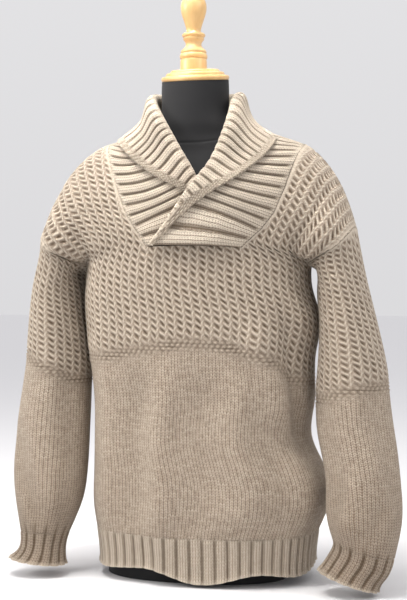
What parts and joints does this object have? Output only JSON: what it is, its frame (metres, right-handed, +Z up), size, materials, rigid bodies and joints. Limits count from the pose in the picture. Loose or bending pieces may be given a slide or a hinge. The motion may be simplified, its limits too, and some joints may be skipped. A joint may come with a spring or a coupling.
{
  "type": "guernsey sweater on dress form",
  "caption": "Heavy hand-knit sweater with a ribbed shawl collar, textured yoke and dropped sleeves, worn by a limbless dress form with a wooden neck cap.",
  "frame": {"origin": "on the floor under the axis of the form's neck, in the plane of the form's flat base", "axes": "+Z up; the garment's front faces -Y; +X is to the right as seen from the front"},
  "size_m": [0.6026, 0.2602, 0.884],
  "materials": {
    "knit_wool": "soft oatmeal wool, stockinette and textured knit",
    "ribbed_wool": "soft oatmeal wool, wide rib",
    "form_jersey": "matt black jersey",
    "turned_wood": "satin varnish"
  },
  "bodies": {
    "root": {"front": "knit_wool", "back": "knit_wool", "right_sleeve": "knit_wool", "left_sleeve": "knit_wool", "right_cuff": "ribbed_wool", "left_cuff": "ribbed_wool", "hem_rib": "ribbed_wool", "collar": "ribbed_wool", "form_body": "form_jersey", "neck_cap": "turned_wood", "finial": "turned_wood"}
  },
  "joints": []
}
